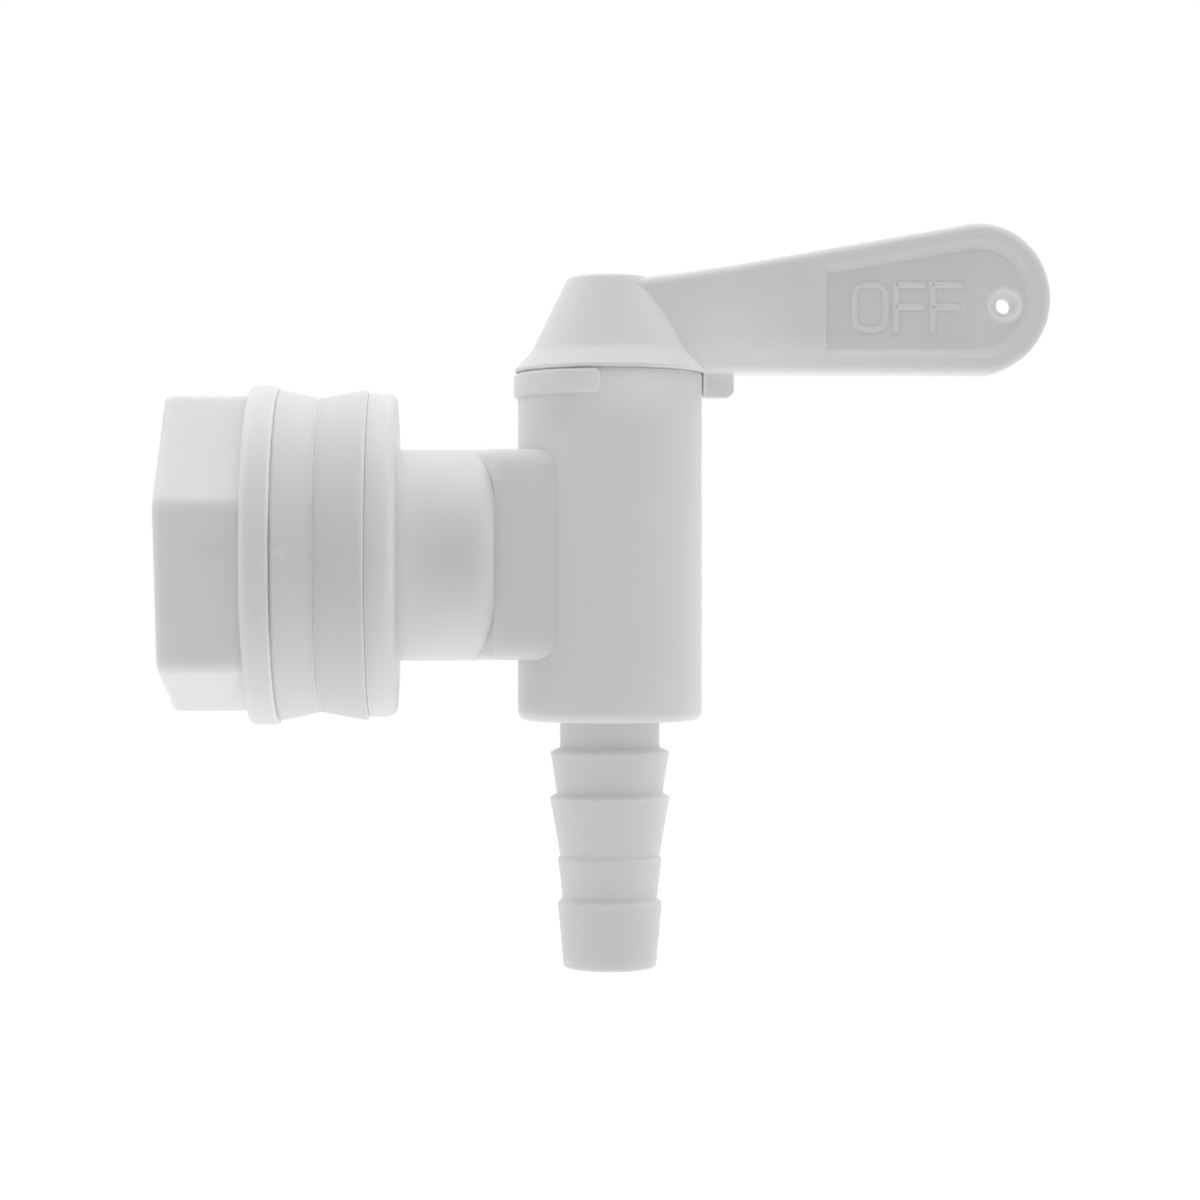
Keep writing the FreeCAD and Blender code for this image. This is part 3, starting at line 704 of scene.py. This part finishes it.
@dataclass
class RaisedWord:
    """A word in raised strokes on the sunk panel of the lever.

    Attributes:
        text: The word, from the letters O, F and N.
        face: Face of the lever.
        left_mm: Reading-direction start of the word, as X.
        bottom_mm: Z of the letters' feet.
        height_mm: Letter height.
        stroke_mm: Width of a stroke.
        proud_mm: Height of the strokes above the panel's floor.
        floor_mm: Distance of the panel's floor from the lever's middle plane.
        gap_mm: Space between letters.
        corner_mm: Radius of the O's corners, along the middle of its stroke.
        corner_steps: Points on each of those corners.
        middle_bar: Height of the F's middle bar, as a share of the letter's.
        bar_short_mm: Length by which that bar is shorter than the upper one.
        sunk_mm: Depth to which a stroke's foot goes into the floor.
        widths: Overall width of each letter, in millimetres.
    """

    text: str
    face: Face
    left_mm: float
    bottom_mm: float
    height_mm: float = 6.43
    stroke_mm: float = 0.86
    proud_mm: float = 0.17
    floor_mm: float = 2.15
    gap_mm: float = 0.43
    corner_mm: float = 1.35
    corner_steps: int = 8
    middle_bar: float = 0.505
    bar_short_mm: float = 0.3
    sunk_mm: float = 0.03
    widths: dict[str, float] = field(
        default_factory=lambda: {"O": 4.82, "F": 4.18, "N": 4.5})

    def build(self) -> list[bpy.types.Object]:
        """Build one piece for each letter.

        Returns:
            The letters' objects, in reading order.
        """
        letters = []
        start = 0.0
        for number, letter in enumerate(self.text, 1):
            width = self.widths[letter]
            points: list[Point] = []
            faces: list[Corners] = []
            for path, closed in self._strokes(letter, width):
                more_points, more_faces = self._stroke(path, closed, start)
                faces += [tuple(n + len(points) for n in one) for one in more_faces]
                points += more_points
            name = f"raised_letter_{self.text.lower()}_{number}"
            letters.append(mesh_object(name, points, faces, sharp_over=60.0))
            start += width + self.gap_mm
        return letters

    def _strokes(self, letter: str, width: float) -> list[tuple[list[tuple[float, float]], bool]]:
        """Centre lines of a letter's strokes.

        Args:
            letter: O, F or N.
            width: Its overall width.

        Returns:
            Pairs of a path, in millimetres from the letter's lower left, and whether it's closed.
        """
        half = self.stroke_mm / 2
        right, top = width - half, self.height_mm - half
        if letter == "O":
            corner = self.corner_mm
            path = []
            for centre_x, centre_z, first in (
                (right - corner, top - corner, 0),
                (half + corner, top - corner, 90),
                (half + corner, half + corner, 180),
                (right - corner, half + corner, 270),
            ):
                for step in range(self.corner_steps):
                    turn = math.radians(first + step * 90 / (self.corner_steps - 1))
                    x = centre_x + corner * math.cos(turn)
                    path.append((x, centre_z + corner * math.sin(turn)))
            return [(path, True)]
        if letter == "F":
            middle = self.height_mm * self.middle_bar
            return [
                ([(half, 0), (half, self.height_mm)], False),
                ([(half, top), (width, top)], False),
                ([(half, middle), (width - self.bar_short_mm, middle)], False),
            ]
        return [
            ([(half, 0), (half, self.height_mm)], False),
            ([(half, top), (right, half)], False),
            ([(right, 0), (right, self.height_mm)], False),
        ]

    def _stroke(
        self, path: list[tuple[float, float]], closed: bool, start: float
    ) -> tuple[list[Point], list[Corners]]:
        """Sweep a round-topped bar along a stroke's centre line.

        Args:
            path: The centre line in the letter's plane.
            closed: True if the path is a loop.
            start: Distance of the letter from the word's start.

        Returns:
            Vertices and faces of the bar.
        """
        half = self.stroke_mm / 2
        top = self.proud_mm
        slope = [(half, -self.sunk_mm)]
        slope += [(half * out, top * up) for out, up in STROKE_PROFILE]
        profile = [(-out, up) for out, up in slope] + slope[::-1]
        rings = []
        count = len(path)
        for index, (x, z) in enumerate(path):
            before = path[index - 1] if closed or index else path[index]
            after = path[(index + 1) % count] if closed or index < count - 1 else path[index]
            way = Vector((after[0] - before[0], after[1] - before[1])).normalized()
            side = Vector((way.y, -way.x))
            ring = []
            for out, up in profile:
                place = Vector((x, z)) + side * out
                ring.append(self._place(start + place.x, place.y, up))
            rings.append(ring)
        return swept_rings(rings, closed)

    def _place(self, along: float, rise: float, up: float) -> Point:
        """Point of the letter in the tap's own frame.

        Args:
            along: Distance in the reading direction.
            rise: Distance above the letters' feet.
            up: Height above the panel's floor.

        Returns:
            The point in metres.
        """
        sign = self.face.value
        x = self.left_mm - sign * along
        return (x * MM, sign * (self.floor_mm + up) * MM, (self.bottom_mm + rise) * MM)


@dataclass
class TapBody:
    """Body moulding with the thread on its shank.

    Attributes:
        thread: The thread's ridge.
    """

    thread: ThreadRidge = field(default_factory=lambda: ThreadRidge(
        "shank_thread", start_mm=-16.6, end_mm=4.6, root_mm=11.9, crest_mm=13.2,
        root_half_mm=0.85, crest_half_mm=0.12))

    def build(self, dresser: Dresser) -> None:
        """Dress the moulding and add its thread.

        Args:
            dresser: Gives the finishes.
        """
        dresser.node("tap_body", BODY_PLASTIC)
        dresser.piece(self.thread.build(), "tap", BODY_PLASTIC)


@dataclass
class BackNut:
    """Back nut with the thread in its bore.

    Attributes:
        thread: The thread's ridge.
    """

    thread: ThreadRidge = field(default_factory=lambda: ThreadRidge(
        "nut_thread", start_mm=-17.3, end_mm=-6.1, root_mm=13.45, crest_mm=12.2,
        root_half_mm=0.84, crest_half_mm=0.17, phase=0.5))

    def build(self, dresser: Dresser) -> None:
        """Dress the nut and add its thread.

        Args:
            dresser: Gives the finishes.
        """
        dresser.node("back_nut", NUT_PLASTIC)
        dresser.piece(self.thread.build(), "nut", NUT_PLASTIC)


@dataclass
class LeverPlug:
    """Lever, cap and plug, with a raised word on each face of the lever.

    Attributes:
        front_word: Word on the photographed face.
        back_word: Word on the other face.
        axis_x_mm: X of the axis that the lever turns about.
        lip_inner_mm: Inner radius of the pale ring under the cap that paints out the slit's
            shade.
        lip_outer_mm: Its outer radius.
        lip_bottom_mm: Height of its foot.
        lip_top_mm: Height of its top, just inside the cap.
        lip_steps: Sections round it.
    """

    front_word: RaisedWord = field(default_factory=lambda: RaisedWord(
        "OFF", Face.FRONT, left_mm=65.92, bottom_mm=27.76))
    back_word: RaisedWord = field(default_factory=lambda: RaisedWord(
        "ON", Face.BACK, left_mm=77.80, bottom_mm=27.76))
    axis_x_mm: float = 35.94
    lip_inner_mm: float = 11.0
    lip_outer_mm: float = 11.43
    lip_bottom_mm: float = 22.665
    lip_top_mm: float = 22.765
    lip_steps: int = 120

    def build(self, dresser: Dresser) -> None:
        """Dress the moulding, and add its words and a pale ring under its cap that paints out the
        slit's shade.

        Args:
            dresser: Gives the finishes.
        """
        dresser.node("lever_plug", LEVER_PLASTIC)
        for word in (self.front_word, self.back_word):
            for letter in word.build():
                dresser.piece(letter, "lever", LETTER_PLASTIC)
        dresser.piece(self._slit_filler(), "lever", LETTER_PLASTIC)

    def _slit_filler(self) -> bpy.types.Object:
        """Narrow pale ring under the cap's rim, which closes most of the slit above the barrel:
        painted light in place of the slit's shade.

        Returns:
            The lip's object.
        """
        corners = (
            (self.lip_inner_mm, self.lip_bottom_mm),
            (self.lip_inner_mm, self.lip_top_mm),
            (self.lip_outer_mm, self.lip_top_mm),
            (self.lip_outer_mm, self.lip_bottom_mm),
        )
        rings = []
        for step in range(self.lip_steps):
            turn = 2 * math.pi * step / self.lip_steps
            rings.append([
                ((self.axis_x_mm + out * math.cos(turn)) * MM, out * math.sin(turn) * MM, up * MM)
                for out, up in corners
            ])
        points, faces = swept_rings(rings, closed=True)
        return mesh_object("cap_slit_filler", points, faces)


@dataclass
class Seals:
    """The washers at the vessel wall and the rings round the plug.

    Attributes:
        washers: CAD nodes of the washers.
        rings: CAD nodes of the rings.
    """

    washers: tuple[str, ...] = ("outer_washer", "inner_washer")
    rings: tuple[str, ...] = ("upper_ring_seal", "lower_ring_seal")

    def build(self, dresser: Dresser) -> None:
        """Dress the washers and rings.

        Args:
            dresser: Gives the finishes.
        """
        for name in self.washers:
            dresser.node(name, WASHER_RUBBER)
        for name in self.rings:
            dresser.node(name, SEAL_RUBBER)


@dataclass
class Studio:
    """Plain pale floor, soft light all round and the photograph's camera.

    Attributes:
        aim_mm: Point at the middle of the picture.
        distance_mm: Camera's distance from that point.
        yaw: Camera's turn about Z, in degrees.
        view_angle: Width of the picture, in degrees.
        front_light: Strength of the level light from the photographed side.
        side_light: Strength of the level light from the sides.
        rear_light: Strength of the level light from straight behind.
        top_light: Extra strength of the light from straight above.
        under_light_w: Power of the soft lamp below the object, in watts.
        front_to_side: Y of the directions in which front light ends and side light is full.
        side_to_rear: Y of the directions in which side light ends and rear light is full.
        top_power: Power by which the top light fades away from straight up.
        floor_mm: Height of the floor.
        floor_half_m: Half the floor's width.
        floor_tone: Linear grey of the floor.
        floor_roughness: Roughness of the floor.
        floor_lift: Light of its own that the camera sees on the floor.
        lamp_size_m: Width of the lamp below.
        lamp_above_floor_mm: Its height above the floor.
        sensor_mm: Width of the camera's sensor.
        near_m: Nearest distance that the camera sees.
        far_m: Farthest distance that it sees.
    """

    aim_mm: Point = (34.71, 0.0, -5.575)
    distance_mm: float = 350.0
    yaw: float = 2.4
    view_angle: float = 24.2
    front_light: float = 0.34
    side_light: float = 1.19
    rear_light: float = 0.66
    top_light: float = 0.95
    under_light_w: float = 0.30
    front_to_side: tuple[float, float] = (-0.68, 0.10)
    side_to_rear: tuple[float, float] = (0.20, 0.95)
    top_power: float = 4.0
    floor_mm: float = -330.0
    floor_half_m: float = 4.0
    floor_tone: float = 0.63
    floor_roughness: float = 0.9
    floor_lift: float = 0.45
    lamp_size_m: float = 0.42
    lamp_above_floor_mm: float = 20.0
    sensor_mm: float = 36.0
    near_m: float = 0.01
    far_m: float = 50.0

    def build(self) -> None:
        """Build the floor, the light and the camera."""
        self._world()
        self._floor()
        self._under_light()
        self._camera()
        bpy.context.scene.view_settings.view_transform = "Standard"

    @staticmethod
    def _seen_directly(tree: bpy.types.NodeTree) -> bpy.types.NodeSocket:
        """Value of 1 for camera, glossy and transmission rays.

        Args:
            tree: Node tree that gets the nodes.

        Returns:
            The socket with the value.
        """
        path = tree.nodes.new("ShaderNodeLightPath")
        total = path.outputs["Is Camera Ray"]
        for name in ("Is Glossy Ray", "Is Transmission Ray"):
            total = maths(tree, "MAXIMUM", total, path.outputs[name])
        return total

    def _world(self) -> None:
        """Soft light, strongest from the sides and above, with a white background."""
        world = bpy.data.worlds.new("soft_studio")
        bpy.context.scene.world = world
        world.use_nodes = True
        tree = world.node_tree
        way = tree.nodes.new("ShaderNodeTexCoord")
        parts = tree.nodes.new("ShaderNodeSeparateXYZ")
        tree.links.new(way.outputs["Generated"], parts.inputs[0])
        level = soft_step(tree, parts.outputs["Y"], self.front_to_side,
                          (self.front_light, self.side_light))
        behind = soft_step(tree, parts.outputs["Y"], self.side_to_rear,
                           (0.0, self.rear_light - self.side_light))
        around = maths(tree, "ADD", level.outputs["Result"], behind.outputs["Result"])
        steep = maths(tree, "POWER", parts.outputs["Z"], self.top_power)
        lit = tree.nodes["Background"]
        lit.inputs["Color"].default_value = WHITE
        tree.links.new(maths(tree, "MULTIPLY_ADD", steep, self.top_light, around),
                       lit.inputs["Strength"])
        white = tree.nodes.new("ShaderNodeBackground")
        white.inputs["Color"].default_value = WHITE
        white.inputs["Strength"].default_value = 1.0
        choice = tree.nodes.new("ShaderNodeMixShader")
        tree.links.new(self._seen_directly(tree), choice.inputs["Fac"])
        tree.links.new(lit.outputs["Background"], choice.inputs[1])
        tree.links.new(white.outputs["Background"], choice.inputs[2])
        tree.links.new(choice.outputs["Shader"], tree.nodes["World Output"].inputs["Surface"])

    def _floor(self) -> None:
        """Pale floor well below the tap, which keeps the tap's soft shadow."""
        half, z = self.floor_half_m, self.floor_mm * MM
        corners = [(-half, -half, z), (half, -half, z), (half, half, z), (-half, half, z)]
        floor = mesh_object("studio_floor", corners, [(0, 1, 2, 3)])
        made = bpy.data.materials.new("pale_floor")
        made.use_nodes = True
        tree = made.node_tree
        shader = tree.nodes["Principled BSDF"]
        shader.inputs["Base Color"].default_value = grey(self.floor_tone)
        shader.inputs["Roughness"].default_value = self.floor_roughness
        shader.inputs["Emission Color"].default_value = WHITE
        lift = maths(tree, "MULTIPLY", self._seen_directly(tree), self.floor_lift)
        tree.links.new(lift, shader.inputs["Emission Strength"])
        floor.data.materials.append(made)
        LOG.info("laid the floor")

    def _under_light(self) -> None:
        """Soft lamp that lies just above the floor and shines up."""
        data = bpy.data.lights.new("under_light", "AREA")
        data.shape = "SQUARE"
        data.size = self.lamp_size_m
        data.energy = self.under_light_w
        lamp = new_object("under_light", data)
        height = self.floor_mm + self.lamp_above_floor_mm
        lamp.location = Vector((self.aim_mm[0], 0, height)) * MM
        lamp.rotation_euler = (math.pi, 0, 0)
        lamp.visible_camera = False
        lamp.visible_glossy = False
        LOG.info("set the lamp below")

    def _camera(self) -> None:
        """Camera at the photograph's place."""
        data = bpy.data.cameras.new("photo_camera")
        data.sensor_width = self.sensor_mm
        data.lens = self.sensor_mm / 2 / math.tan(math.radians(self.view_angle / 2))
        data.clip_start = self.near_m
        data.clip_end = self.far_m
        camera = new_object("photo_camera", data)
        turn = math.radians(self.yaw)
        ahead = Vector((math.sin(turn), math.cos(turn), 0))
        camera.location = (Vector(self.aim_mm) - ahead * self.distance_mm) * MM
        camera.rotation_euler = ahead.to_track_quat("-Z", "Y").to_euler()
        bpy.context.scene.camera = camera
        LOG.info("set the camera")


def write_sizes() -> None:
    """Log one line; no box is worked out or written.
    """
    LOG.info("sizes written")


def main() -> None:
    """Build the tap's looks and its studio, in order."""
    logging.basicConfig(level=logging.INFO, format="%(message)s")
    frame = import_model()
    dresser = Dresser(frame, SurfaceGroups())
    for assembly in (TapBody(), BackNut(), Seals(), LeverPlug()):
        assembly.build(dresser)
    Studio().build()
    write_sizes()


if __name__ == "__main__":
    main()
